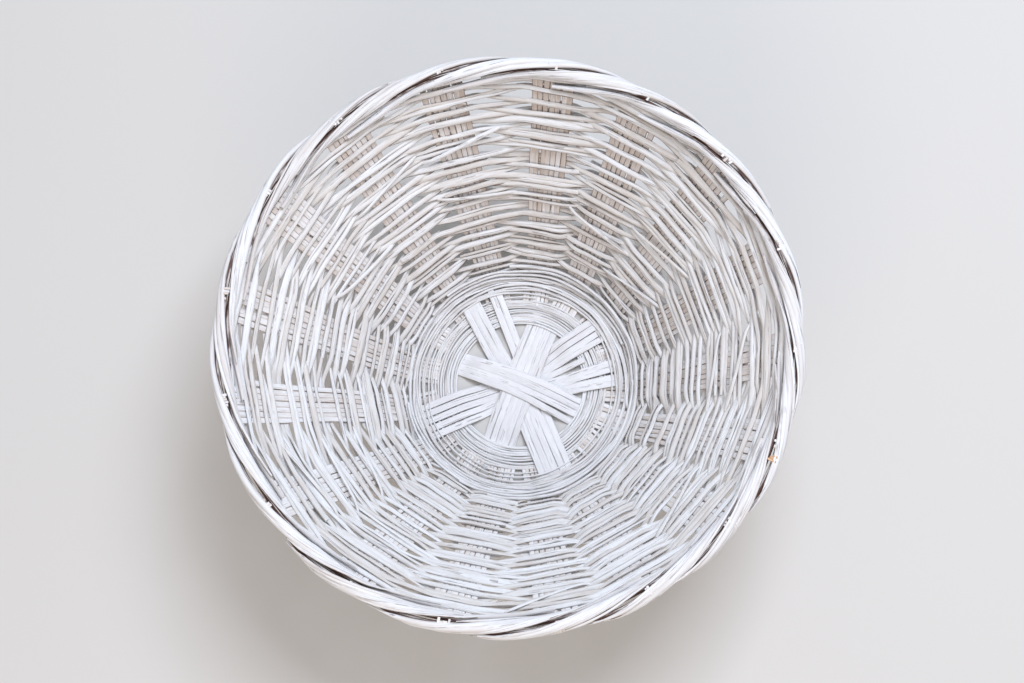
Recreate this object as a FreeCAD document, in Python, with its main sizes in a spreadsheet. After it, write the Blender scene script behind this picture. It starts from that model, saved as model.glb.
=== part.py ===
import FreeCAD, Part
import math
import os

import Sketcher

# A deep round winnowing basket, hand woven from cane. Millimetres, +Z up, origin at the middle of the
# underside of the base. A bearing is an angle in degrees from +Y, turning clockwise towards +X.

V = FreeCAD.Vector
UP = V(0, 0, 1)

doc = FreeCAD.newDocument("winnowing_basket")
sheet = doc.addObject("Spreadsheet::Sheet", "Dimensions")

DIMENSIONS = [
    # The whole basket.
    ("rim_outer_diameter", 610.0),
    ("basket_height", 255.0),
    ("wall_foot_radius", 121.0),
    # Flat splints of the star base: side view.
    ("splint_thickness", 2.4),
    ("splint_width", 7.2),
    ("splint_pitch", 7.4),
    ("star_flat_radius", 48.0),
    ("star_bend_radius", 71.0),
    ("bottom_level", 0.0),
    ("third_level", 2.5),
    ("second_level", 5.0),
    ("top_level", 7.5),
    ("under_weave_level", 0.0),
    ("over_weave_level", 5.6),
    # Flat splints of the star base: the four bundles.
    ("bottom_reach", 117.0),
    ("third_reach", 117.0),
    ("second_reach", 104.0),
    ("top_reach", 86.0),
    ("bottom_splints", 5),
    ("third_splints", 5),
    ("second_splints", 5),
    ("top_splints", 4),
    ("bottom_bearing", 68.0),
    ("third_bearing", 158.0),
    ("second_bearing", 23.0),
    ("top_bearing", 114.0),
    # Thin cane wound round and round the star.
    ("base_weave_radius", 74.0),
    ("base_weave_turns", 11),
    ("base_cane_pitch", 4.0),
    ("base_cane_height", 3.0),
    ("base_cane_crown", 0.9),
    ("base_weave_level", 2.5),
    # Fans of flat reeds that stand up as the stakes of the wall.
    ("reeds_in_fan", 7),
    ("reed_thickness", 2.4),
    ("reed_foot_radius", 106.0),
    ("reed_foot_pitch", 4.0),
    ("reed_top_pitch", 6.5),
    ("reed_side_gap", 0.2),
    ("reed_top_gap", 0.1),
    # Round cane woven in front of one fan and behind the next, taken in courses of five or six rows.
    ("course_count", 9),
    ("course_start", 10.0),
    ("course_gap", 0.9),
    ("weaver_thickness", 4.5),
    ("weaver_clearance", 0.3),
    ("weaver_edge_margin", 2.5),
    # Rolled border: each strand runs over three fan spacings, from inside and below to outside.
    ("strand_diameter", 9.0),
    ("strand_circle_radius", 7.0),
    ("strand_start_angle", 234.0),
    ("strand_turn", 250.0),
    ("strand_spacings", 3),
]

# The fans of a hand-made wall are not evenly spaced.
FAN_BEARINGS = [10, 30, 51, 72, 93, 112, 131, 151, 170, 192, 213, 235, 258, 280, 302, 323, 346]
FAN_CELLS = [(f"fan_bearing_{number:02d}", bearing) for number, bearing in enumerate(FAN_BEARINGS, start=1)]

for row, (alias, value) in enumerate(DIMENSIONS + FAN_CELLS, start=1):
    sheet.set(f"A{row}", alias)
    sheet.set(f"B{row}", str(value))
    sheet.setAlias(f"B{row}", alias)
doc.recompute()


def size(alias):
    """A driving dimension, read from the sheet."""
    return float(sheet.get(alias))


def outward(bearing):
    """The level direction away from the basket's axis at a bearing."""
    turn = math.radians(bearing)
    return V(math.sin(turn), math.cos(turn), 0)


def along_rim(bearing):
    """The level direction of growing bearing, square to outward()."""
    turn = math.radians(bearing)
    return V(math.cos(turn), -math.sin(turn), 0)


def origin_plane(body, role):
    """One of a body's own origin planes."""
    return next(feature for feature in body.Origin.OriginFeatures if feature.Role == role)


sub_parts = []


def keep(thing, name):
    """Labels a finished sub-part and lists it as a node."""
    thing.Label = name
    sub_parts.append(thing)


# ------------------------------------------------------------- star base


def bound_outline(sketch, corners):
    """A closed outline of straight lines whose corners are tied to cells: (side, x cell, z cell, lift)."""
    count = len(corners)
    places = [V(side * size(x), size(z) + lift * size("splint_thickness"), 0) for side, x, z, lift in corners]
    for index in range(count):
        sketch.addGeometry(Part.LineSegment(places[index], places[(index + 1) % count]), False)
    for index in range(count):
        sketch.addConstraint(Sketcher.Constraint("Coincident", index, 2, (index + 1) % count, 1))
    for index, (side, x, z, lift) in enumerate(corners):
        ends = (-1, 1, index, 1) if side > 0 else (index, 1, -1, 1)
        across = sketch.addConstraint(Sketcher.Constraint("DistanceX", *ends, size(x)))
        sketch.setExpression(f"Constraints[{across}]", f"Dimensions.{x}")
        height = sketch.addConstraint(Sketcher.Constraint("DistanceY", -1, 1, index, 1, places[index].y))
        thickness = " + Dimensions.splint_thickness" if lift else ""
        sketch.setExpression(f"Constraints[{height}]", f"Dimensions.{z}{thickness}")


def splint_bundle(layer, end_level):
    """Flat splints side by side, level at the middle of the star and level again at both ends."""
    bend = [
        (-1, f"{layer}_reach", end_level),
        (-1, "star_bend_radius", end_level),
        (-1, "star_flat_radius", f"{layer}_level"),
        (1, "star_flat_radius", f"{layer}_level"),
        (1, "star_bend_radius", end_level),
        (1, f"{layer}_reach", end_level),
    ]
    underside = [(*corner, 0) for corner in bend]
    upper_side = [(*corner, 1) for corner in reversed(bend)]

    body = doc.addObject("PartDesign::Body", f"splint_{layer}")
    sketch = body.newObject("Sketcher::SketchObject", f"side_view_{layer}")
    sketch.AttachmentSupport = [(origin_plane(body, "XZ_Plane"), "")]
    sketch.MapMode = "FlatFace"
    bound_outline(sketch, underside + upper_side)
    pad = body.newObject("PartDesign::Pad", f"one_splint_{layer}")
    pad.Profile = sketch
    pad.setExpression("Length", "Dimensions.splint_width")
    doc.recompute()

    row = body.newObject("PartDesign::LinearPattern", f"row_{layer}")
    row.Originals = [pad]
    row.Direction = (sketch, ["N_Axis"])
    row.setExpression("Length", f"(Dimensions.{layer}_splints - 1) * Dimensions.splint_pitch")
    row.setExpression("Occurrences", f"Dimensions.{layer}_splints")
    body.Tip = row
    doc.recompute()

    # The pattern runs towards -Y, so the bundle is moved back by half its width before it is turned.
    bundle_width = (size(f"{layer}_splints") - 1) * size("splint_pitch") + size("splint_width")
    turn = FreeCAD.Rotation(UP, 90 - size(f"{layer}_bearing"))
    body.Placement = FreeCAD.Placement(turn.multVec(V(0, bundle_width / 2, 0)), turn)
    keep(body, f"base_splints_{layer}")


def base_weave():
    """A flat ring of thin cane wound turn against turn, its top and underside scalloped by the turns."""
    inner = size("base_weave_radius")
    pitch = size("base_cane_pitch")
    crown = size("base_cane_crown")
    turns = int(size("base_weave_turns"))
    low = size("base_weave_level")
    high = low + size("base_cane_height")
    outer = inner + turns * pitch

    body = doc.addObject("PartDesign::Body", "wound_cane")
    sketch = body.newObject("Sketcher::SketchObject", "cane_section")
    sketch.AttachmentSupport = [(origin_plane(body, "XZ_Plane"), "")]
    sketch.MapMode = "FlatFace"
    for turn in range(turns):
        start = inner + turn * pitch
        middle = start + pitch / 2
        end = start + pitch
        sketch.addGeometry(Part.Arc(V(start, high - crown, 0), V(middle, high, 0), V(end, high - crown, 0)), False)
        sketch.addGeometry(Part.Arc(V(start, low + crown, 0), V(middle, low, 0), V(end, low + crown, 0)), False)
    for radius in (inner, outer):
        sketch.addGeometry(Part.LineSegment(V(radius, low + crown, 0), V(radius, high - crown, 0)), False)
    ring = body.newObject("PartDesign::Revolution", "wound_ring")
    ring.Profile = sketch
    ring.ReferenceAxis = (sketch, ["V_Axis"])
    ring.Angle = 360
    body.Tip = ring
    keep(body, "base_weave")


# ---------------------------------------------------- solids through sections


def patch(corners):
    """A flat four-sided face, or two triangles where the four corners are not in one plane."""
    a, b, c, d = corners
    normal = (b - a).cross(c - a)
    if abs((d - a).dot(normal)) < 1e-6 * normal.Length:
        return [Part.Face(Part.makePolygon([a, b, c, d, a]))]
    return [Part.Face(Part.makePolygon([a, b, c, a])), Part.Face(Part.makePolygon([a, c, d, a]))]


def solid_through(sections, closed):
    """A closed solid with flat faces through a row of sections, each a list of the same number of corners."""
    faces = []
    count = len(sections[0])
    following = sections[1:] + sections[:1] if closed else sections[1:]
    for near, far in zip(sections, following):
        for k in range(count):
            m = (k + 1) % count
            faces += patch([near[k], near[m], far[m], far[k]])
    if not closed:
        for end in (sections[0], sections[-1]):
            faces.append(Part.Face(Part.makePolygon(end + end[:1])))
    shell = Part.makeShell(faces)
    shell.sewShape()
    solid = Part.makeSolid(Part.Shell(shell.Faces))
    if solid.Volume < 0:
        solid.reverse()
    return solid


def add_feature(name, shape):
    """A sub-part whose shape is worked out here from the sheet's sizes."""
    feature = doc.addObject("Part::Feature", name)
    feature.Shape = shape
    feature.Placement = FreeCAD.Placement()
    keep(feature, name)


# ------------------------------------------------------------------ wall

border_reach = size("strand_circle_radius") + size("strand_diameter") / 2
border_radius = size("rim_outer_diameter") / 2 - border_reach
border_height = size("basket_height") - border_reach
foot_height = size("reed_thickness") / 2
wall_run = border_radius - size("wall_foot_radius")
wall_rise = border_height - foot_height
wall_length = math.hypot(wall_run, wall_rise)
lean = math.atan2(wall_run, wall_rise)
reed_length = wall_length - border_reach - size("reed_top_gap")


def fan_point(bearing, slant, across, offset):
    """A point of the wall by a fan: up the slant, across the fan, and out from its middle plane."""
    radius = size("wall_foot_radius") + slant * math.sin(lean) + offset * math.cos(lean)
    height = foot_height + slant * math.cos(lean) - offset * math.sin(lean)
    return outward(bearing) * radius + along_rim(bearing) * across + UP * height


def reed_pitch(slant):
    """The reeds of a fan are thin at the foot and broader towards the rim."""
    share = max(slant, 0) / reed_length
    return size("reed_foot_pitch") + share * (size("reed_top_pitch") - size("reed_foot_pitch"))


def reed_section(bearing, place, slant, foot):
    """The flat section of one reed: level on the floor side at its foot, mitred at the bend, square at the top."""
    half = size("reed_thickness") / 2
    wide = (reed_pitch(slant) - size("reed_side_gap")) / 2
    middle = place * reed_pitch(slant)
    if foot == "level":
        radial, vertical = 0.0, -half
        radius, height = size("reed_foot_radius"), foot_height
    elif foot == "bend":
        mitre = half / (1 + math.sin(lean))
        radial, vertical = mitre * math.cos(lean), -mitre * (1 + math.sin(lean))
        radius, height = size("wall_foot_radius"), foot_height
    else:
        radial, vertical = half * math.cos(lean), -half * math.sin(lean)
        radius = size("wall_foot_radius") + slant * math.sin(lean)
        height = foot_height + slant * math.cos(lean)
    corners = [(middle - wide, 1), (middle + wide, 1), (middle + wide, -1), (middle - wide, -1)]
    return [
        outward(bearing) * (radius + side * radial) + along_rim(bearing) * across + UP * (height + side * vertical)
        for across, side in corners
    ]


def fan_of_reeds(number, bearing):
    """Flat reeds side by side, from under the base weave, round the bend and up the wall to the border."""
    reeds = []
    count = int(size("reeds_in_fan"))
    for index in range(count):
        place = index - (count - 1) / 2
        sections = [
            reed_section(bearing, place, 0.0, "level"),
            reed_section(bearing, place, 0.0, "bend"),
            reed_section(bearing, place, reed_length, "wall"),
        ]
        reeds.append(solid_through(sections, closed=False))
    add_feature(f"stake_fan_{number:02d}", Part.makeCompound(reeds))


def woven_course(number, bearings):
    """A band of wall weave that passes in front of one fan and behind the next, all the way round."""
    count = int(size("course_count"))
    start = size("course_start")
    step = (reed_length - start) / count
    low = start + (number - 1) * step
    high = low + step - size("course_gap")
    half = size("weaver_thickness") / 2
    stand_off = size("reed_thickness") / 2 + size("weaver_clearance") + half
    sections = []
    for index, bearing in enumerate(bearings):
        side = stand_off if (index + number) % 2 else -stand_off
        for edge in (-1, 1):
            corners = [(low, side - half), (low, side + half), (high, side + half), (high, side - half)]
            section = []
            for slant, offset in corners:
                fan_half = size("reeds_in_fan") * reed_pitch(slant) / 2 + size("weaver_edge_margin")
                section.append(fan_point(bearing, slant, edge * fan_half, offset))
            sections.append(section)
    add_feature(f"weave_course_{number:02d}", solid_through(sections, closed=True))


# ---------------------------------------------------------------- border


def strand_section(bearing, angle, corners):
    """A many-sided section of a border strand, in the upright plane at a bearing."""
    ring = size("strand_circle_radius")
    turn = math.radians(angle)
    centre_radius = border_radius + ring * math.cos(turn)
    centre_height = border_height + ring * math.sin(turn)
    half = size("strand_diameter") / 2
    section = []
    for k in range(corners):
        around = 2 * math.pi * k / corners
        radius = centre_radius + half * math.cos(around)
        section.append(outward(bearing) * radius + UP * (centre_height + half * math.sin(around)))
    return section


def border_strand(number, bearings):
    """One rolled strand: the bent-down ends of a fan, laid over the next three fans' strands."""
    spacings = int(size("strand_spacings"))
    steps_per_spacing = 5
    sections = []
    for step in range(spacings * steps_per_spacing + 1):
        along = step / steps_per_spacing
        fan = min(int(along), spacings - 1)
        first = bearings[(number - 1 + fan) % len(bearings)]
        spacing = (bearings[(number + fan) % len(bearings)] - first) % 360
        angle = size("strand_start_angle") - size("strand_turn") * along / spacings
        sections.append(strand_section(first + spacing * (along - fan), angle, corners=8))
    add_feature(f"border_strand_{number:02d}", solid_through(sections, closed=False))


# -------------------------------------------------------------- assembly

splint_bundle("bottom", "over_weave_level")
splint_bundle("third", "over_weave_level")
splint_bundle("second", "under_weave_level")
splint_bundle("top", "under_weave_level")
base_weave()

fans = [size(alias) for alias, _ in FAN_CELLS]
for fan_number, fan_bearing in enumerate(fans, start=1):
    fan_of_reeds(fan_number, fan_bearing)
for course_number in range(1, int(size("course_count")) + 1):
    woven_course(course_number, fans)
for strand_number in range(1, len(fans) + 1):
    border_strand(strand_number, fans)
doc.recompute()

for item in doc.Objects:
    if "Invalid" in item.State or "Error" in item.State:
        raise RuntimeError(f"{item.Label} failed: {item.State}")
for item in sub_parts:
    if item.Shape.isNull() or not item.Shape.isValid():
        raise RuntimeError(f"{item.Label} has no valid shape")

os.makedirs("parts", exist_ok=True)
for item in sub_parts:
    item.Shape.exportStep(os.path.join("parts", item.Label + ".step"))
    solids = item.Shape.Solids
    print(f"{item.Label}: {len(solids)} solids, {sum(solid.Volume for solid in solids) / 1000:.1f} cm3")
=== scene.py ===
import math
import random

import bpy
import numpy as np
from mathutils import Matrix, Vector


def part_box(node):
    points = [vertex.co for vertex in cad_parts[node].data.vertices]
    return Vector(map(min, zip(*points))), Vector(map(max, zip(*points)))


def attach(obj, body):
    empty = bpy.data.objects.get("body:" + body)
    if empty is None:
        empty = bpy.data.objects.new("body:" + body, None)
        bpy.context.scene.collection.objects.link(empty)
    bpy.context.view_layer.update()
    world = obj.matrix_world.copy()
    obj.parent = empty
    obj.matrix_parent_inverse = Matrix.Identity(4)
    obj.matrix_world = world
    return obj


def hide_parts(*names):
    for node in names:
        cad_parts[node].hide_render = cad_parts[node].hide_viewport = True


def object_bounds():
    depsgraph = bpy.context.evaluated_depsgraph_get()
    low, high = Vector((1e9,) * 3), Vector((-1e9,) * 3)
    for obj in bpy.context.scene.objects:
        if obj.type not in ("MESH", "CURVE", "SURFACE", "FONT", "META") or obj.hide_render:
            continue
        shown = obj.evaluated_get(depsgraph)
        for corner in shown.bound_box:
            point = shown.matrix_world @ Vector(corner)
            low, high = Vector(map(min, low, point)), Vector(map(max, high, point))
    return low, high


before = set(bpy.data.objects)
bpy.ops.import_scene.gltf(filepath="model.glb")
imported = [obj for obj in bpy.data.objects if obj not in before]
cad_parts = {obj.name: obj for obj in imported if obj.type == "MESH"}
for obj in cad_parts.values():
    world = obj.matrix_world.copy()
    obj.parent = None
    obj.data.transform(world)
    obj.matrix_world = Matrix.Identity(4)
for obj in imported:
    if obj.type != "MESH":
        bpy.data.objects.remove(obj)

cad_low, cad_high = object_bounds()

# ---------------------------------------------------------------------------------------------
# Star base. Four bundles of flat, riven splints cross in the middle of the bottom. The lower two
# rise over the base weave at their ends, the upper two dive under it, and their ends are left raw.
# ---------------------------------------------------------------------------------------------

MM = 0.001
splint_thickness = 2.3 * MM
splint_width = 7.4 * MM
splint_waver = 0.3 * MM
floor_clearance = 0.4 * MM
star_middle_reach = 14 * MM
star_flat_radius = 46 * MM
star_bend_radius = 72 * MM
soft_corner = math.radians(50)
# Each length of stock starts at its own place in the grain, up to this far along it.
grain_shift = 50


def outward(bearing):
    """The level direction away from the basket's axis; bearings turn clockwise from +Y."""
    turn = math.radians(bearing)
    return np.array([math.sin(turn), math.cos(turn), 0.0])


def along_rim(bearing):
    """The level direction of growing bearing, square to outward()."""
    turn = math.radians(bearing)
    return np.array([math.cos(turn), -math.sin(turn), 0.0])


def smooth_step(low, high, value):
    """0 below low, 1 above high, with a soft change between."""
    share = np.clip((np.asarray(value, float) - low) / (high - low), 0, 1)
    return share * share * (3 - 2 * share)


def straight_stock(sides, cuts, more_cuts=0):
    """A straight length of stock, modelled once: a cylinder cut across into many short stretches."""
    bpy.ops.object.select_all(action="DESELECT")
    bpy.ops.mesh.primitive_cylinder_add(vertices=sides, radius=1, depth=1)
    blank = bpy.context.object
    bpy.context.tool_settings.mesh_select_mode = (False, True, False)
    for count in (cuts, more_cuts):
        bpy.ops.object.mode_set(mode="EDIT")
        bpy.ops.mesh.select_all(action="DESELECT")
        bpy.ops.object.mode_set(mode="OBJECT")
        for edge in blank.data.edges:
            start, end = (blank.data.vertices[index].co.z for index in edge.vertices)
            edge.select = abs(start - end) > 0.0001
        bpy.ops.object.mode_set(mode="EDIT")
        if count:
            bpy.ops.mesh.subdivide(number_cuts=count)
        bpy.ops.object.mode_set(mode="OBJECT")
    place = np.array([vertex.co for vertex in blank.data.vertices])
    stations = (cuts + 1) * (more_cuts + 1) + 1
    stock = {
        "stations": stations,
        "station": np.rint((place[:, 2] + 0.5) * (stations - 1)).astype(int),
        "section": place[:, :2],
        "faces": [np.array(face.vertices) for face in blank.data.polygons],
    }
    mesh = blank.data
    bpy.data.objects.remove(blank)
    bpy.data.meshes.remove(mesh)
    return stock


def smooth_path(points, stations):
    """A soft curve through all the points, evenly spaced, as cane springs from one hold to the next."""
    points = np.asarray(points, float)
    spans = np.maximum(np.linalg.norm(np.diff(points[:, :3], axis=0), axis=1), 1e-6)
    slopes = np.diff(points, axis=0) / spans[:, None]
    tangents = np.empty_like(points)
    tangents[0], tangents[-1] = slopes[0], slopes[-1]
    before, after = spans[:-1, None], spans[1:, None]
    tangents[1:-1] = (slopes[:-1] * after + slopes[1:] * before) / (before + after)
    at = np.concatenate([[0], np.cumsum(spans)])
    where = np.linspace(0, at[-1], stations)
    span = np.clip(np.searchsorted(at, where, side="right") - 1, 0, len(spans) - 1)
    share = ((where - at[span]) / spans[span])[:, None]
    reach = spans[span][:, None]
    return (
        (2 * share**3 - 3 * share**2 + 1) * points[span]
        + (share**3 - 2 * share**2 + share) * reach * tangents[span]
        + (3 * share**2 - 2 * share**3) * points[span + 1]
        + (share**3 - share**2) * reach * tangents[span + 1]
    )


def unit(vectors):
    """The same vectors at length 1."""
    return vectors / np.maximum(np.linalg.norm(vectors, axis=-1, keepdims=True), 1e-9)


def bend_stock(stock, path, face_way, half_width, half_depth, chance, squareness=1.0,
               bare_edges=(0.0, 0.0), bare_from=0.4):
    """One copy of the stock bent along a path. face_way is where its broad face looks; bare_edges is how much
    less paint its right and left edges hold, from a share of the half width outwards.
    The finish deepens the brown of the barest edges as painted shade in the crevices."""
    path = np.asarray(path, float)
    tangent = unit(np.gradient(path, axis=0))
    face_way = np.broadcast_to(face_way, path.shape)
    face = unit(face_way - (face_way * tangent).sum(1, keepdims=True) * tangent)
    side = np.cross(face, tangent)
    at = stock["station"]
    cross, deep = stock["section"][:, 0], stock["section"][:, 1]
    cross = np.sign(cross) * np.abs(cross) ** squareness
    deep = np.sign(deep) * np.abs(deep) ** squareness
    wide = np.broadcast_to(half_width, len(path))[at] * cross
    thick = np.broadcast_to(half_depth, len(path))[at] * deep
    edge_way = side[at] * (cross / np.mean(half_width))[:, None]
    broad_way = face[at] * (deep / np.mean(half_depth))[:, None]
    co = path[at] + side[at] * wide[:, None] + face[at] * thick[:, None]
    steps = np.linalg.norm(np.diff(path, axis=0), axis=1)
    run = np.concatenate([[0], np.cumsum(steps)])[at]
    right_edge = smooth_step(bare_from, 1, cross)
    left_edge = smooth_step(bare_from, 1, -cross)
    return {
        "co": co,
        "faces": stock["faces"],
        "place": np.stack([run + chance.uniform(0, grain_shift), wide, thick], axis=1),
        "normal": unit(edge_way + broad_way),
        "tone": np.full(len(co), chance.random()),
        "cover": 1 - bare_edges[0] * right_edge - bare_edges[1] * left_edge,
    }


painter_above = np.array([0.0, 0.0, 0.75])
underside_radius = 90 * MM
wall_radius = 160 * MM
outside_strength = 0.75


def brushed(co, normal):
    """How squarely a spot faced the brush, from inside the bowl or, more lightly, from outside."""
    from_inside = (normal * unit(painter_above - co)).sum(1)
    on_wall = smooth_step(underside_radius, wall_radius, np.linalg.norm(co[:, :2], axis=1))[:, None]
    away = unit(co * [1, 1, 0]) * on_wall + np.array([0, 0, -1.0]) * (1.1 - on_wall)
    from_outside = (normal * unit(away)).sum(1)
    return np.maximum(from_inside, from_outside * outside_strength)


def make_piece(name, lengths, material, slot, *nodes):
    """Lays several lengths of stock together as one piece that stands for its CAD nodes."""
    starts = np.cumsum([0] + [len(length["co"]) for length in lengths])
    faces = [face + start for length, start in zip(lengths, starts) for face in length["faces"]]
    keys = ("co", "normal", "place", "tone", "cover")
    joined = {key: np.concatenate([length[key] for length in lengths]) for key in keys}
    co = joined["co"]
    mesh = bpy.data.meshes.new(name)
    mesh.vertices.add(len(co))
    mesh.vertices.foreach_set("co", co.astype(np.float32).ravel())
    sizes = np.array([len(face) for face in faces])
    mesh.loops.add(int(sizes.sum()))
    mesh.loops.foreach_set("vertex_index", np.concatenate(faces).astype(np.int32))
    mesh.polygons.add(len(faces))
    loop_starts = np.concatenate([[0], np.cumsum(sizes)[:-1]])
    mesh.polygons.foreach_set("loop_start", loop_starts.astype(np.int32))
    mesh.update(calc_edges=True)
    mesh.validate()
    for key, kind, values in (
        ("cane_place", "FLOAT_VECTOR", joined["place"]),
        ("brushed", "FLOAT", brushed(co, joined["normal"])),
        ("tone", "FLOAT", joined["tone"]),
        ("cover", "FLOAT", joined["cover"]),
    ):
        attribute = mesh.attributes.new(key, kind, "POINT")
        field = "vector" if kind == "FLOAT_VECTOR" else "value"
        attribute.data.foreach_set(field, values.astype(np.float32).ravel())
    piece = bpy.data.objects.new(name, mesh)
    bpy.context.collection.objects.link(piece)
    mesh.materials.append(material)
    bpy.ops.object.select_all(action="DESELECT")
    piece.select_set(True)
    bpy.context.view_layer.objects.active = piece
    bpy.ops.object.shade_smooth_by_angle(angle=soft_corner)
    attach(piece, "root")
    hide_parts(*nodes)
    return piece


def srgb(code):
    """An sRGB hex colour as linear numbers."""
    parts = [int(code[i : i + 2], 16) / 255 for i in (0, 2, 4)]
    return [c / 12.92 if c <= 0.04045 else ((c + 0.055) / 1.055) ** 2.4 for c in parts] + [1.0]


def plug(tree, target, source):
    """Gives a node's input a link, an sRGB colour code or a plain value."""
    if isinstance(source, bpy.types.NodeSocket):
        tree.links.new(source, target)
    elif isinstance(source, str):
        target.default_value = srgb(source)
    else:
        target.default_value = source


def calculate(tree, operation, *inputs):
    """The result of a maths node."""
    node = tree.nodes.new("ShaderNodeMath")
    node.operation = operation
    for target, source in zip(node.inputs, inputs):
        plug(tree, target, source)
    return node.outputs[0]


def remap(tree, value, low, high, to_low=0.0, to_high=1.0, kind="LINEAR"):
    """Where a value lies between low and high, as a number from to_low to to_high."""
    node = tree.nodes.new("ShaderNodeMapRange")
    node.interpolation_type = kind
    names = ("Value", "From Min", "From Max", "To Min", "To Max")
    for name, source in zip(names, (value, low, high, to_low, to_high)):
        plug(tree, node.inputs[name], source)
    return node.outputs[0]


def mixed(tree, share, first, second):
    """A mix of two colours."""
    node = tree.nodes.new("ShaderNodeMix")
    node.data_type = "RGBA"
    for index, source in ((0, share), (6, first), (7, second)):
        plug(tree, node.inputs[index], source)
    return node.outputs[2]


def cane_value(tree, name, output="Fac"):
    """A value that the cane's surface carries."""
    node = tree.nodes.new("ShaderNodeAttribute")
    node.attribute_name = name
    return node.outputs[output]


def cane_noise(tree, place, scale, detail, roughness):
    """Noise in the cane's own coordinates, with a scale along, across and through the cane."""
    mapping = tree.nodes.new("ShaderNodeMapping")
    plug(tree, mapping.inputs["Vector"], place)
    plug(tree, mapping.inputs["Scale"], scale)
    noise = tree.nodes.new("ShaderNodeTexNoise")
    plug(tree, noise.inputs["Vector"], mapping.outputs[0])
    plug(tree, noise.inputs["Scale"], 1.0)
    plug(tree, noise.inputs["Detail"], detail)
    plug(tree, noise.inputs["Roughness"], roughness)
    return noise.outputs["Fac"]


# Streaks and blotches are this many times longer than wide. The paint holds from usual_hold upwards,
# less the finish's own cover.
grain_length = 22
blotch_length = 3
split_scale = (5, 330, 330)
grain_weight = 1.3
usual_hold = 2.55
hold_fade = (-0.1, 0.12)
# The darker brown laid over the bare cane in the crevices is painted shade between the canes.
crevice_cane_and_shade_brown = "5A4037"


def whitewashed(name, paint, bare, cover, streak_mm, blotch_mm, relief_mm):
    """Limewash brushed over bare cane. It holds where the brush faced the surface and is missed or worn
    off along the sides, where the brown of the cane shows in streaks that run with the grain. In the
    crevices, where the cover is lowest, the brown is deepened further as painted shade."""
    material = bpy.data.materials.new(name)
    material.use_nodes = True
    tree = material.node_tree
    surface = tree.nodes["Principled BSDF"]
    place = cane_value(tree, "cane_place", "Vector")
    facing = cane_value(tree, "brushed")
    tone = cane_value(tree, "tone")
    paint_cover_and_shade = cane_value(tree, "cover")
    fine = 1 / (streak_mm * MM)
    broad = 1 / (blotch_mm * MM)
    grain = cane_noise(tree, place, (fine / grain_length, fine, fine), 3.0, 0.6)
    blotch = cane_noise(tree, place, (broad / blotch_length, broad, broad), 2.0, 0.55)

    # Facing the brush, grain, blotches and the cane's own cover add up to how well the paint holds.
    hold = calculate(tree, "MULTIPLY_ADD", grain, grain_weight, facing)
    hold = calculate(tree, "ADD", blotch, hold)
    hold = calculate(tree, "ADD", paint_cover_and_shade, hold)
    edge = usual_hold - cover
    mask = remap(tree, hold, edge + hold_fade[0], edge + hold_fade[1], kind="SMOOTHSTEP")

    # Long splits in the skin, open only in patches, which the brush passed over.
    split = cane_noise(tree, place, split_scale, 1.0, 0.5)
    off_split = calculate(tree, "ABSOLUTE", calculate(tree, "SUBTRACT", split, 0.5))
    closed = remap(tree, blotch, 0.4, 0.5, to_low=0.5)
    skin = calculate(tree, "MAXIMUM", remap(tree, off_split, 0.0, 0.03), closed)
    mask = calculate(tree, "MULTIPLY", mask, skin)

    # Bare cane, deepened to a darker brown in the crevices as painted shade between the canes, and paint
    # that is thick in places and thin in others.
    cane = mixed(tree, grain, *bare)
    crevice_shade_share = remap(tree, paint_cover_and_shade, 0.45, 0.1, to_high=0.8)
    cane = mixed(tree, crevice_shade_share, cane, crevice_cane_and_shade_brown)
    thinness = calculate(tree, "MULTIPLY_ADD", blotch, 2.2, tone)
    thinness = calculate(tree, "MULTIPLY_ADD", grain, 2.2, thinness)
    thinness = calculate(tree, "MULTIPLY_ADD", paint_cover_and_shade, -1.5, thinness)
    wash = mixed(tree, remap(tree, thinness, 0.8, 2.2), *paint)
    plug(tree, surface.inputs["Base Color"], mixed(tree, mask, cane, wash))
    plug(tree, surface.inputs["Roughness"], remap(tree, mask, 0.0, 1.0, 0.5, 0.78))
    surface.inputs["IOR"].default_value = 1.5

    bump = tree.nodes.new("ShaderNodeBump")
    bump.inputs["Strength"].default_value = 0.6
    bump.inputs["Distance"].default_value = relief_mm * MM
    plug(tree, bump.inputs["Height"], calculate(tree, "MULTIPLY_ADD", mask, 0.5, grain))
    plug(tree, surface.inputs["Normal"], bump.outputs[0])
    return material


chance = random.Random(4)
splint_stock = straight_stock(sides=12, cuts=63)
splint_finish = whitewashed(
    "limewashed_riven_splint", paint=("F2F3F5", "E1E0E2"), bare=("7A5D4E", "382720"),
    cover=0.62, streak_mm=0.9, blotch_mm=6, relief_mm=0.3,
)


def star_splint(start, end, shift, middle_level, end_level, width):
    """One splint from (bearing, reach) to (bearing, reach), shifted sideways where it crosses the middle."""
    first = outward(start[0]) * start[1]
    last = outward(end[0]) * end[1]
    way = unit(last - first)
    square = np.array([way[1], -way[0], 0.0])
    middle = square * shift
    plan = [
        first, first / 2 + middle / 2, middle - way * min(star_middle_reach, start[1] / 3),
        middle + way * min(star_middle_reach, end[1] / 3), last / 2 + middle / 2, last,
    ]
    path = smooth_path(plan, splint_stock["stations"])
    radius = np.linalg.norm(path[:, :2], axis=1)
    rise = smooth_step(star_flat_radius, star_bend_radius, radius)
    waver = splint_waver * np.sin(radius * 90 + chance.uniform(0, 6))
    underside = middle_level + (end_level - middle_level) * rise + waver * rise
    path[:, 2] = np.maximum(underside, floor_clearance) + splint_thickness / 2
    half = width / 2 * (1 + 0.04 * np.sin(radius * 60 + chance.uniform(0, 6)))
    lean_over = np.array([chance.uniform(-0.07, 0.07), chance.uniform(-0.07, 0.07), 1.0])
    return bend_stock(splint_stock, path, lean_over, half, splint_thickness / 2, chance, squareness=0.4)


def spread(middle, step, count):
    """Bearings side by side about a middle one."""
    return [middle + step * (index - (count - 1) / 2) for index in range(count)]


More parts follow.
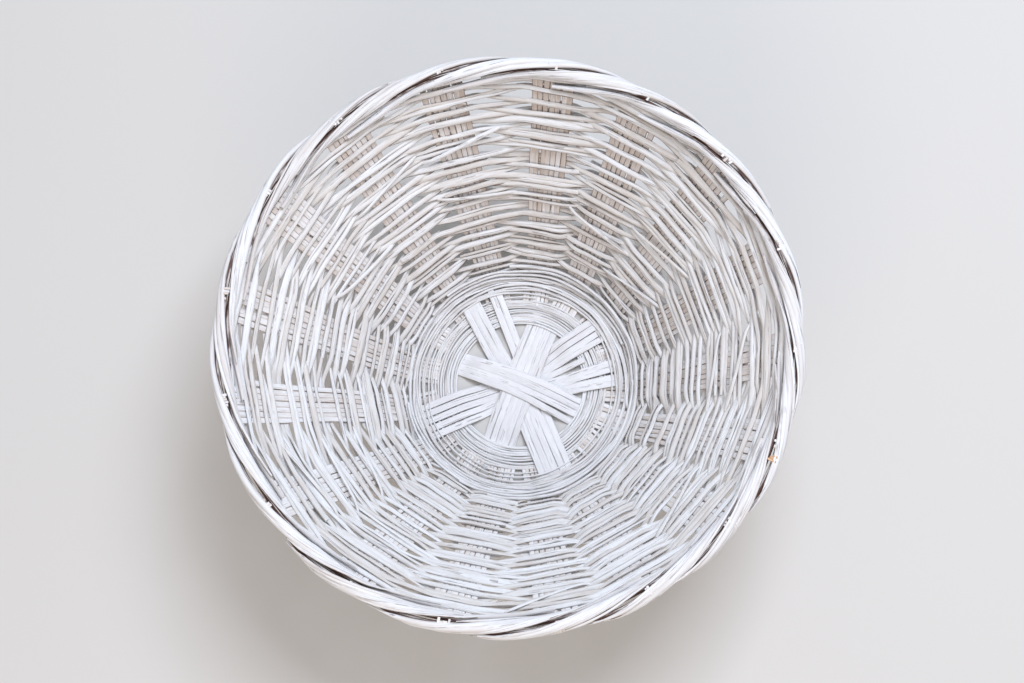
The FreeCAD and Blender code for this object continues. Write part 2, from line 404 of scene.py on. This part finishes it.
def star_bundle(name, node, starts, ends, start_reach, end_reach, levels, width=splint_width, extra=()):
    """Splints side by side that cross the star together, listed from left to right."""
    count = len(starts)
    lengths = []
    for index, (start, end) in enumerate(zip(starts, ends)):
        shift = (index - (count - 1) / 2) * width
        reaches = start_reach + chance.uniform(-3, 3) * MM, end_reach + chance.uniform(-3, 3) * MM
        wide = width * chance.uniform(0.97, 1.04)
        lengths.append(star_splint((start, reaches[0]), (end, reaches[1]), shift, *levels, wide))
    for start, end, shift in extra:
        lengths.append(star_splint(start, end, shift, *levels, width * chance.uniform(0.85, 1)))
    make_piece(name, lengths, splint_finish, "base_splint", node)


over_weave = 6.5 * MM
star_bundle(
    "star_bundle_bottom", "base_splints_bottom",
    starts=[256.5, 252.3, 248, 243.6, 239.2], ends=[49, 53, 57, 77, 86],
    start_reach=115 * MM, end_reach=115 * MM, levels=(0.1 * MM, over_weave),
    extra=[
        ((244, 22 * MM), (61.2, 113 * MM), 1 * MM),
        ((250, 20 * MM), (69.5, 78 * MM), 4 * MM),
        ((240, 22 * MM), (81, 112 * MM), 11 * MM),
        ((236, 20 * MM), (90, 110 * MM), 18 * MM),
    ],
)
star_bundle(
    "star_bundle_third", "base_splints_third",
    starts=[347, 343, 332.8, 328.8, 324.8], ends=[150.2, 154.1, 158, 161.9, 165.8],
    start_reach=111 * MM, end_reach=116 * MM, levels=(2.5 * MM, over_weave),
)
star_bundle(
    "star_bundle_second", "base_splints_second",
    starts=spread(200, 4.2, 5)[::-1], ends=spread(21, 4.2, 5),
    start_reach=100 * MM, end_reach=100 * MM, levels=(5.0 * MM, 0),
)
star_bundle(
    "star_bundle_top", "base_splints_top",
    starts=spread(291, 4.4, 4)[::-1], ends=[107.5, 112.7, 118, 125.5],
    start_reach=79 * MM, end_reach=83 * MM, levels=(7.4 * MM, 0),
)

# ---------------------------------------------------------------------------------------------
# Base weave. Thin cane is wound round the star, over the ends of the upper two bundles and under the
# lower two: nine close turns and six shorter lengths. Thicker, wavy lengths lock the raw ends down.
# ---------------------------------------------------------------------------------------------

weave_low, weave_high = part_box("base_weave")
weave_middle = (weave_low.z + weave_high.z) / 2
base_weave_width = 44 * MM
base_weave_inner = weave_high.x - base_weave_width
base_cane_pitch = 3 * MM
base_cane_radius = 1.4 * MM
inner_turns = 9
whole_turn = 366

fine_cane_finish = whitewashed(
    "limewashed_fine_cane", paint=("F1F3F5", "DCD8D6"), bare=("7A5D4E", "382720"),
    cover=0.42, streak_mm=0.7, blotch_mm=5, relief_mm=0.15,
)
long_stock = straight_stock(sides=8, cuts=69, more_cuts=3)


def ring_turn(radius, height, cane_radius, start, wobble, lift=None, turn_length=whole_turn):
    """One turn of cane round the base, a little uneven. A whole turn's ends overlap."""
    phases = [chance.uniform(0, 6.3) for _ in range(4)]
    bearings = np.linspace(start, start + turn_length, long_stock["stations"])
    turns = np.radians(bearings)
    uneven = sum(np.sin(turns * wave + phase) / wave**0.7 for wave, phase in zip((2, 5, 8, 13), phases))
    radii = radius + wobble * uneven
    heights = height + 0.4 * wobble * np.sin(turns * 9 + phases[0])
    if lift is not None:
        heights = heights + lift(bearings)
    path = np.stack([np.sin(turns) * radii, np.cos(turns) * radii, heights], axis=1)
    waver = cane_radius * (1 + 0.12 * np.sin(turns * 7 + phases[1]))
    return bend_stock(long_stock, path, [0, 0, 1.0], waver, waver * 0.9, chance)


turns_of_cane = [
    ring_turn(
        base_weave_inner + (turn - 0.6) * base_cane_pitch, weave_middle + chance.uniform(-0.5, 0.3) * MM,
        base_cane_radius * chance.uniform(0.8, 1.15), chance.uniform(0, 360), 0.55 * MM,
    )
    for turn in range(inner_turns)
]
for radius, height in ((84, 5.4), (92, 5.6), (98.5, 4.9), (79, 5.1), (101, 5.8), (74, 5.3)):
    turns_of_cane.append(
        ring_turn(
            radius * MM, height * MM, chance.uniform(0.8, 1.2) * MM, chance.uniform(0, 360), 0.9 * MM,
            turn_length=chance.uniform(120, 250),
        )
    )
make_piece("base_weave_turns", turns_of_cane, fine_cane_finish, "base_cane", "base_weave")

# The raised arms of the star, which the locking canes climb over: middle bearing and half width.
arm_lift = 3.4 * MM
arm_slope = 6
raised_arms = [(55, 8.5), (82, 10), (158, 11), (248, 11.5), (329, 6.5), (345, 5)]


def over_arms(bearings):
    """How far a locking cane is lifted to pass over the raised arms of the star."""
    lift = np.zeros(len(bearings))
    for middle, half in raised_arms:
        off = np.abs((np.asarray(bearings) - middle + 180) % 360 - 180)
        lift = np.maximum(lift, 1 - smooth_step(half, half + arm_slope, off))
    return lift * arm_lift


# Each locking cane: its ring's radius, its height, its own radius and how far round it goes.
locking_turns = [
    ring_turn(
        radius * MM, height * MM, thick * MM, chance.uniform(0, 360), 1.5 * MM, over_arms, length,
    )
    for radius, height, thick, length in (
        (111, 6.4, 1.2, whole_turn), (115, 6.8, 1.5, whole_turn),
        (118.5, 7.4, 1.2, 300), (121, 6.9, 2.0, whole_turn),
        (124.5, 8.0, 1.6, 330), (107.5, 6.4, 1.1, 190), (113.5, 8.6, 1.7, 160), (117, 9.3, 1.4, 210),
        (105, 6.2, 1.0, 240), (109.5, 7.2, 1.3, 300), (120, 9.6, 1.5, 170), (124, 12.6, 1.6, 320),
        (126.5, 17.5, 1.7, 280), (129.5, 21.5, 1.5, 250), (132.5, 25.5, 1.8, 200), (128, 19.8, 1.3, 170),
    )
]
make_piece("base_locking_turns", locking_turns, fine_cane_finish, "base_cane", "base_weave")

# ---------------------------------------------------------------------------------------------
# Stakes. Seventeen fans of seven flat split reeds start under the base weave, turn up at its edge and
# carry the wall. They are narrow at the foot and broader at the top, and some fold over the border.
# ---------------------------------------------------------------------------------------------

fan_nodes = sorted(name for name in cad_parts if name.startswith("stake_fan_"))
fan_bearings = []
for fan_node in fan_nodes:
    corners = np.array([vertex.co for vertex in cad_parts[fan_node].data.vertices])
    middle_x, middle_y = corners[:, :2].mean(0)
    fan_bearings.append(math.degrees(math.atan2(middle_x, middle_y)) % 360)
fan_count = len(fan_nodes)

reeds_in_fan = 7
reed_thickness = 2 * MM
reed_foot_pitch = 4.2 * MM
reed_top_pitch = 6.8 * MM
foot_radius = 122.6 * MM
foot_height = 3.4 * MM
border_reach = 11.5 * MM
border_radius = (cad_high.x - cad_low.x) / 2 - border_reach
border_height = cad_high.z - border_reach
wall_length = math.hypot(border_radius - foot_radius, border_height - foot_height)
lean = math.atan2(border_radius - foot_radius, border_height - foot_height)
bend_radius = 24 * MM
bend_angle = math.pi / 2 - lean
bend_tangent = bend_radius * math.tan(bend_angle / 2)
astray_share = 0.12
astray_reach = 5 * MM
folded_in_fan = 5
folded_pitch = 2.7 * MM
# The side of the bowl that hangs most in its own shade.
shade_bearing = 12
# Distances up the slant that a reed passes through, closer together round the bend at its foot.
reed_holds = np.concatenate([np.linspace(-29, 12, 9), np.linspace(25, 282, 14)]) * MM


def wall_profile(slant):
    """Radius, height and outward normal of the wall's middle surface at a distance up the slant."""
    if slant <= -bend_tangent:
        return foot_radius + slant, foot_height, 0.0, -1.0
    if slant < bend_tangent:
        turned = (slant + bend_tangent) / (2 * bend_tangent) * bend_angle
        radius = foot_radius - bend_tangent + bend_radius * math.sin(turned)
        height = foot_height + bend_radius * (1 - math.cos(turned))
        return radius, height, math.sin(turned), -math.cos(turned)
    radius = foot_radius + slant * math.sin(lean)
    height = foot_height + slant * math.cos(lean)
    return radius, height, math.cos(lean), -math.sin(lean)


def fan_point(bearing, slant, across, offset):
    """A point by a fan: up the slant, across the fan, and out from its middle plane."""
    radius, height, normal_out, normal_up = wall_profile(slant)
    level = outward(bearing) * (radius + offset * normal_out) + along_rim(bearing) * across
    return level + np.array([0, 0, height + offset * normal_up])


def reed_pitch(slant):
    """How far apart the reeds of a fan lie at a distance up the slant."""
    share = min(max(slant, 0) / wall_length, 1)
    return reed_foot_pitch + (reed_top_pitch - reed_foot_pitch) * share


def border_point(bearing, angle, ring, across=0.0):
    """A point round the border's middle line: angle 0 looks away from the basket, 90 up."""
    turn = math.radians(angle)
    level = outward(bearing) * (border_radius + ring * math.cos(turn)) + along_rim(bearing) * across
    return level + np.array([0, 0, border_height + ring * math.sin(turn)])


def border_look(bearing, angle):
    """The direction from the border's middle line to its surface at an angle."""
    turn = math.radians(angle)
    return outward(bearing) * math.cos(turn) + np.array([0, 0, math.sin(turn)])


def faced_path(points, looks, stock):
    """A soft curve for a length of stock, and where its broad face looks along the way."""
    both = smooth_path(np.concatenate([points, looks], axis=1), stock["stations"])
    return both[:, :3], both[:, 3:]


reed_finish = whitewashed(
    "thinly_washed_flat_reed", paint=("F3F3F4", "D3C7BD"), bare=("C6B09C", "8E725E"),
    cover=0.38, streak_mm=0.8, blotch_mm=9, relief_mm=0.2,
)
reed_stock = straight_stock(sides=10, cuts=99)


def reed(bearing, place):
    """One flat reed of a fan, with a little waver, that goes in under the border at its top."""
    waver = chance.uniform(-0.6, 0.6) * MM
    phase = chance.uniform(0, 6)
    astray = chance.uniform(-1, 1) * astray_reach if chance.random() < astray_share else 0
    points = []
    looks = []
    for slant in reed_holds:
        sway = waver + 0.5 * MM * math.sin(slant * 38 + phase)
        sway += astray * float(smooth_step(0.2, 0.28, slant))
        lift = 0.4 * MM * math.sin(slant * 55 + phase * 2)
        points.append(fan_point(bearing, slant, place * reed_pitch(slant) + sway, lift))
        _, _, normal_out, normal_up = wall_profile(slant)
        looks.append(-outward(bearing) * normal_out + np.array([0, 0, -normal_up]))
    path, face_way = faced_path(points, looks, reed_stock)
    face_way = face_way + along_rim(bearing) * chance.uniform(-0.12, 0.12)
    run = np.linspace(0, 1, len(path))
    half = (reed_foot_pitch + (reed_top_pitch - reed_foot_pitch) * run) / 2 * chance.uniform(0.96, 1.03)
    half = half * (1 + 0.03 * np.sin(run * 40 + phase))
    depth = reed_thickness / 2 * (0.85 + 0.15 * run)
    length = bend_stock(reed_stock, path, face_way, half, depth, chance, 0.5, (0.95, 0.95), bare_from=0.8)
    # The fans on the side that hangs in the bowl's shade hold thinner paint and show more bare tan, and the
    # lit fans thicker, whiter paint: partly uneven paint, partly painted shade.
    shaded = 0.5 + 0.5 * math.cos(math.radians(bearing - shade_bearing))
    length["cover"] += (0.25 - 0.72 * shaded**3) * smooth_step(0.06, 0.2, length["co"][:, 2])
    return length


def folded_end(bearing, place, ring=9.5 * MM):
    """The narrow end of a reed that comes up outside the border and is folded down over its top."""
    points = []
    looks = []
    for angle in (-30, 0, 22, 48, chance.uniform(70, 110)):
        across = place * folded_pitch + chance.uniform(-0.4, 0.4) * MM
        points.append(border_point(bearing, angle, ring + chance.uniform(-0.6, 0.5) * MM, across))
        looks.append(border_look(bearing, angle))
    path, face_way = faced_path(points, looks, reed_stock)
    half = chance.uniform(1.1, 1.45) * MM
    return bend_stock(reed_stock, path, face_way, half, 0.6 * MM, chance, squareness=0.55)


for fan_node, bearing in zip(fan_nodes, fan_bearings):
    fan = [reed(bearing, index - (reeds_in_fan - 1) / 2) for index in range(reeds_in_fan)]
    fan += [folded_end(bearing, index - folded_in_fan // 2) for index in range(folded_in_fan)]
    make_piece(fan_node.replace("stake_fan", "reed_fan"), fan, reed_finish, "stake_reed", fan_node)

# One folded end, a little past its fan, has split after it was painted and shows clean wood.
split_finish = whitewashed(
    "freshly_split_reed", paint=("F3E0CB", "EBCFB2"), bare=("E6BC93", "BE8F67"),
    cover=-0.35, streak_mm=0.7, blotch_mm=5, relief_mm=0.3,
)
split_fan = 5
split_bearing = fan_bearings[split_fan] + 3.5
split_end = [folded_end(split_bearing, place, 11.2 * MM) for place in (-0.9, 0, 0.9)]
make_piece("split_reed_end", split_end, split_finish, "stake_reed", fan_nodes[split_fan])

# ---------------------------------------------------------------------------------------------
# Wall weave. Round canes run in one long spiral, in front of one fan and behind the next. The odd
# number of fans makes each turn cross the last one. Canes taper, and new ones are let in at a fan.
# ---------------------------------------------------------------------------------------------

weave_end = wall_length - border_reach - 3 * MM
tight_pitch = 4.2 * MM
open_pitch = 5.8 * MM
doubled_pitch = 8.4 * MM
doubled_share = 0.45
missed_strokes = 0.03
fan_margin = 0.5 * MM
hold_clearance = 0.3 * MM
lifted_end = 1.15
cane_spread = 1.3
cane_squash = 0.78
foot_thinning = 0.42
paired_shift = -1.4 * MM
companion_shift = 3.6 * MM
companion_middle = 8
turn_slants = [3.5 * MM]
doubled_turns = []
while turn_slants[-1] < weave_end:
    loosened = float(smooth_step(6 * MM, 55 * MM, turn_slants[-1]))
    is_doubled = loosened > 0.4 and chance.random() < doubled_share
    doubled_turns.append(is_doubled)
    pitch = doubled_pitch
    if not is_doubled:
        pitch = (tight_pitch + (open_pitch - tight_pitch) * loosened) * chance.uniform(0.92, 1.08)
    turn_slants.append(turn_slants[-1] + pitch)
turn_slants = np.array(turn_slants)
crossings = (len(turn_slants) - 1) * fan_count

cane_finish = whitewashed(
    "limewashed_round_cane", paint=("F1F3F5", "D8D2CC"), bare=("7D5F50", "3A2820"),
    cover=0.42, streak_mm=0.9, blotch_mm=8, relief_mm=0.25,
)
cane_stock = straight_stock(sides=8, cuts=89, more_cuts=4)

# Each turn strays a little from its neighbours, and its strays hang together over a few fans.
drift_size = 1.5 * MM
drift_chance = np.random.default_rng(7)
drift = drift_chance.normal(0, 1, (len(turn_slants) + 2, fan_count))
drift = (np.roll(drift, 1, 1) + 2 * drift + np.roll(drift, -1, 1)) / 4
drift = drift / drift.std() * drift_size


def crossing_slant(crossing, side, pairing):
    """How far up the slant the spiral is where it crosses a fan."""
    turn = crossing / fan_count
    middle = float(np.interp(turn, np.arange(len(turn_slants)), turn_slants))
    pitch = float(np.interp(middle, [0, 60 * MM], [tight_pitch, open_pitch]))
    stray = drift[int(turn), crossing % fan_count] * min(pitch / open_pitch, 1) ** 2
    return middle + side * pairing * pitch / 2 + stray


def share_up(slant):
    """How far up the wall a slant is, from 0 at the foot to 1 at the border."""
    return min(max(slant / wall_length, 0), 1)


def woven_cane(first, last, butt_radius, tip_radius, shift=0.0):
    """One cane from crossing to crossing, thick at the butt and thin at the tip. The weaver now and then
    missed a stroke and took it past two fans on one side."""
    corners = []
    for crossing in range(first, last + 1):
        side = 1 if crossing % 2 else -1
        if chance.random() < missed_strokes:
            side = -side
        bearing = fan_bearings[crossing % fan_count]
        share = (crossing - first) / max(last - first, 1)
        radius = butt_radius + (tip_radius - butt_radius) * share
        slant = crossing_slant(crossing, side, chance.uniform(0.1, 0.8)) + shift
        half_fan = reeds_in_fan * reed_pitch(slant) / 2 + fan_margin
        hold = side * (reed_thickness / 2 + radius * 0.75 + hold_clearance)
        gap = 2 * math.pi * wall_profile(slant)[0] / fan_count - 2 * half_fan
        before, after = (half_fan + gap * chance.uniform(-0.1, 0.24) for _ in range(2))
        tilt = chance.uniform(-1.5, 1.5) * MM * (0.4 + 0.6 * share_up(slant))
        if crossing == first:
            end = before + chance.uniform(2, 14) * MM
            corners.append(fan_point(bearing, slant - tilt * 2, -end, hold * lifted_end))
        corners.append(fan_point(bearing, slant - tilt, -before, hold))
        corners.append(fan_point(bearing, slant + tilt, after, hold))
    end = after + chance.uniform(2, 14) * MM
    corners.append(fan_point(bearing, slant + tilt * 2, end, hold * lifted_end))
    points = [corners[0]]
    for here, there in zip(corners[:-1], corners[1:]):
        bow = chance.uniform(-1.1, 1.1) * MM
        points.append((here + there) / 2 + np.array([0, 0, bow]))
        points.append(there)
    path = smooth_path(points, cane_stock["stations"])
    run = np.linspace(0, 1, len(path))
    knots = 1 + 0.1 * np.sin(run * 31 + chance.uniform(0, 6))
    knots += 0.05 * np.sin(run * 117 + chance.uniform(0, 6))
    flatness = 1 + 0.12 * np.sin(run * 23 + chance.uniform(0, 6))
    radii = (butt_radius + (tip_radius - butt_radius) * run) * knots
    radii[:6] *= np.linspace(0.75, 1, 6)
    radii[-8:] *= np.linspace(1, 0.45, 8)
    inward = unit(path * [-1, -1, 0]) * math.cos(lean) + np.array([0, 0, math.sin(lean)])
    twist = 0.35 * np.sin(run * 19 + chance.uniform(0, 6))
    face_way = inward + np.array([0, 0, 1.0]) * twist[:, None]
    wide, deep = radii * cane_spread * flatness, radii * cane_squash / flatness
    length = bend_stock(cane_stock, path, face_way, wide, deep, chance, bare_edges=(0.2, 0.75))
    # On the side that hangs in the bowl's shade the canes hold a little less, thinner paint and look darker
    # and creamier: partly uneven paint, partly painted shade.
    shaded = 0.5 + 0.5 * unit(length["co"] * [1, 1, 0]) @ outward(shade_bearing)
    length["cover"] -= 0.1 * shaded**4
    return length


course_nodes = sorted(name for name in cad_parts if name.startswith("weave_course_"))
course_canes = [[] for _ in course_nodes]
courses_start = 8 * MM


def course_at(crossing):
    """Which of the wall's courses a crossing belongs to."""
    slant = float(np.interp(crossing / fan_count, np.arange(len(turn_slants)), turn_slants))
    course = int((slant - courses_start) / (weave_end - courses_start) * len(course_nodes))
    return course_canes[min(max(course, 0), len(course_nodes) - 1)]


crossing = 0
while crossing < crossings:
    last = min(crossing + chance.randint(13, 23), crossings)
    if last % 2:
        last += 1
    thin = 1 - foot_thinning * (1 - float(smooth_step(0.02, 0.24, crossing / crossings)))
    butt = chance.uniform(2.7, 3.5) * MM * thin
    tip = chance.uniform(1.8, 2.5) * MM * thin
    if chance.random() < 0.5:
        butt, tip = tip, butt
    is_doubled = doubled_turns[min(crossing // fan_count, len(doubled_turns) - 1)]
    shift = paired_shift if is_doubled else 0
    course_at((crossing + last) / 2).append(woven_cane(crossing, last, butt, tip, shift))
    crossing = last
for turn_number, is_doubled in enumerate(doubled_turns):
    if is_doubled:
        first = turn_number * fan_count + chance.randint(-1, 3)
        last = min(first + chance.randint(13, 18), crossings)
        butt = chance.uniform(1.9, 2.6) * MM
        tip = chance.uniform(1.4, 1.9) * MM
        companion = woven_cane(first, last, butt, tip, companion_shift)
        course_at(first + companion_middle).append(companion)

# The cut ends of let-in canes that lie slantwise over the rows inside the bowl.
stray_ends = 14
stray_reach = 46 * MM
stray_height = 2.4 * MM
for _ in range(stray_ends):
    first = 2 * chance.randint(90, crossings // 2 - 30)
    bearing = fan_bearings[first % fan_count]
    slant = crossing_slant(first, -1, 0)
    radius = chance.uniform(1.9, 2.9) * MM
    climb = chance.choice((-1, 1)) * chance.uniform(7, 18) * MM
    bow = chance.uniform(-3, 3) * MM
    plan = []
    for share in np.linspace(-1.25, 1.1, 9):
        depth = (stray_height + radius * 2.1) * (1 - 1.3 * float(smooth_step(0.5, 1.25, -share)))
        height = slant + climb * share + bow * share * share
        plan.append(fan_point(bearing, height, share * stray_reach, -depth))
    loose = smooth_path(plan, cane_stock["stations"])
    run = np.linspace(0, 1, len(loose))
    wide = radius * (0.75 + 0.35 * run)
    wide[-30:] *= np.linspace(1, 0.4, 30)
    face_way = -outward(bearing) * math.cos(lean) + np.array([0, 0, math.sin(lean)])
    stray = bend_stock(cane_stock, loose, face_way, wide, wide * 0.6, chance, bare_edges=(0.1, 0.45))
    course_at(first).append(stray)
for course_node, canes in zip(course_nodes, course_canes):
    name = course_node.replace("weave_course", "woven_canes")
    make_piece(name, canes, cane_finish, "wall_cane", course_node)

# ---------------------------------------------------------------------------------------------
# Border. The ends of each fan are bent down along the rim and rolled over the next three, from
# inside and below, over the top, to the outside. Three bundles lie over each other all the way.
# ---------------------------------------------------------------------------------------------

strand_nodes = sorted(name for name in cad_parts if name.startswith("border_strand_"))
strand_ring = 7.4 * MM
strand_start_angle = 234
strand_turn = 250
strand_spacings = 3
start_drop = 10 * MM
start_tilt = 12
end_bulge = 2.6 * MM
track_angle = 27
start_narrowing = 12
rods_on_top = 4
top_tracks = (-1.55, 0, 1.45)
rod_waver = 0.3 * MM
core_depth = 4.4 * MM
core_radius = 3.2 * MM
border_finish = whitewashed(
    "limewashed_border_cane", paint=("F0F2F5", "DBD6D3"), bare=("7A5B4D", "38251E"),
    cover=0.4, streak_mm=1.0, blotch_mm=9, relief_mm=0.25,
)
strand_stock = straight_stock(sides=10, cuts=71)


def bearing_along(number, spacings_on):
    """The bearing a number of fan spacings on from a fan."""
    fan = int(spacings_on)
    first = fan_bearings[(number + fan) % fan_count]
    spacing = (fan_bearings[(number + fan + 1) % fan_count] - first) % 360
    return first + spacing * (spacings_on - fan)


def strand_rod(number, track, out, radius, start, end):
    """One rod of a rolled bundle: it keeps to its own track round the border's core."""
    points = []
    looks = []
    for share in np.linspace(start, end, 21):
        bearing = bearing_along(number, share * strand_spacings * 0.999)
        low_start = 1 - float(smooth_step(0, 0.3, share))
        bulge = math.sin(math.pi * min(max((share - 0.62) / 0.38, 0), 1))
        ring = strand_ring + out + start_drop * low_start + end_bulge * bulge
        climb = 0.3 * share + 0.7 * float(smooth_step(0.1, 0.9, share))
        angle = strand_start_angle - start_tilt * low_start - strand_turn * climb
        angle += track * (track_angle - start_narrowing * low_start)
        points.append(border_point(bearing, angle, ring))
        looks.append(border_look(bearing, angle))
    path, face_way = faced_path(points, looks, strand_stock)
    run = np.linspace(0, 1, len(path))
    phase = chance.uniform(0, 6)
    path = path + face_way * (rod_waver * np.sin(run * 17 + phase))[:, None]
    radii = radius * (1 + 0.08 * np.sin(run * 21 + phase))
    radii = radii * np.clip((1 - run) * 9, 0.3, 1) * np.clip(0.6 + run * 3, 0, 1)
    return bend_stock(strand_stock, path, face_way, radii * 1.08, radii * 0.88, chance, bare_edges=(0.5, 0.5))


for number, strand_node in enumerate(strand_nodes):
    rods = []
    thicknesses = [chance.uniform(3.2, 3.8), chance.uniform(2.3, 3.0)]
    chance.shuffle(thicknesses)
    for index, radius in enumerate(thicknesses):
        track = (index - 0.5) * 1.3 + chance.uniform(-0.15, 0.15)
        end = chance.uniform(0.85, 0.94) + 0.03 * index
        out = chance.uniform(-0.5, 0.5) * MM
        rods.append(strand_rod(number, track, out, radius * MM, 0, end))
    for index in range(rods_on_top):
        track = top_tracks[index % 3] + chance.uniform(-0.35, 0.35)
        start = chance.uniform(0, 0.45)
        end = min(start + chance.uniform(0.4, 0.6), 1)
        out = chance.uniform(0.6, 1.8) * MM
        rods.append(strand_rod(number, track, out, chance.uniform(1.0, 1.7) * MM, start, end))
    # A core closes the bundle from within and holds little paint where no brush could reach.
    core = strand_rod(number, 0, -core_depth, core_radius, 0.12, 0.95)
    core["cover"] = 0.1 + 0.75 * smooth_step(0, 5 * MM, border_height - core["co"][:, 2])
    rods.append(core)
    name = strand_node.replace("border_strand", "rolled_bundle")
    make_piece(name, rods, border_finish, "border_cane", strand_node)

# ---------------------------------------------------------------------------------------------
# Studio: a plain pale floor, soft light and the camera.
# ---------------------------------------------------------------------------------------------

bpy.ops.object.select_all(action="DESELECT")
bpy.ops.mesh.primitive_plane_add(size=12, location=(0, 0, 0))
floor = bpy.context.object
floor.name = "floor"
paper = bpy.data.materials.new("pale_paper")
paper.use_nodes = True
paper.node_tree.nodes["Principled BSDF"].inputs["Base Color"].default_value = srgb("D8D6D2")
paper.node_tree.nodes["Principled BSDF"].inputs["Roughness"].default_value = 0.9
floor.data.materials.append(paper)

world = bpy.data.worlds.new("soft_room")
world.use_nodes = True
world.node_tree.nodes["Background"].inputs["Color"].default_value = srgb("F1F4FA")
world.node_tree.nodes["Background"].inputs["Strength"].default_value = 0.5
bpy.context.scene.world = world


def soft_light(name, place, aim, width, watts, colour):
    """A large soft box that looks at a point."""
    light = bpy.data.lights.new(name, "AREA")
    light.size = width
    light.energy = watts
    light.color = srgb(colour)[:3]
    lamp = bpy.data.objects.new(name, light)
    bpy.context.collection.objects.link(lamp)
    way = unit(np.array(aim, float) - np.array(place, float))
    lamp.location = place
    lamp.rotation_euler = Vector(way).to_track_quat("-Z", "Y").to_euler()


soft_light("window", (0.85, 1.1, 3.0), (0, -0.02, 0.1), 1.4, 79, "EAF1FF")
soft_light("bounce", (-0.3, -2.2, 1.8), (0, 0.2, 0.15), 1.6, 25, "FFE9D6")

camera_azimuth = 17
camera_elevation = 77
camera_distance = 2.2
camera = bpy.data.objects.new("camera", bpy.data.cameras.new("camera"))
bpy.context.collection.objects.link(camera)
turn = math.radians(camera_azimuth)
climb = math.radians(camera_elevation)
back = Vector((math.sin(turn) * math.cos(climb), -math.cos(turn) * math.cos(climb), math.sin(climb)))
rim_middle = Vector((0, 0, border_height))
camera.location = rim_middle + back * camera_distance
sideways = Vector((0, 1, 0)).cross(back).normalized()
upward = back.cross(sideways)
camera.rotation_euler = Matrix((sideways, upward, back)).transposed().to_euler()
camera.data.lens = 75.6
camera.data.sensor_width = 36
camera.data.shift_x = 0.006
camera.data.shift_y = -0.002
bpy.context.scene.camera = camera
bpy.context.scene.view_settings.view_transform = "Standard"
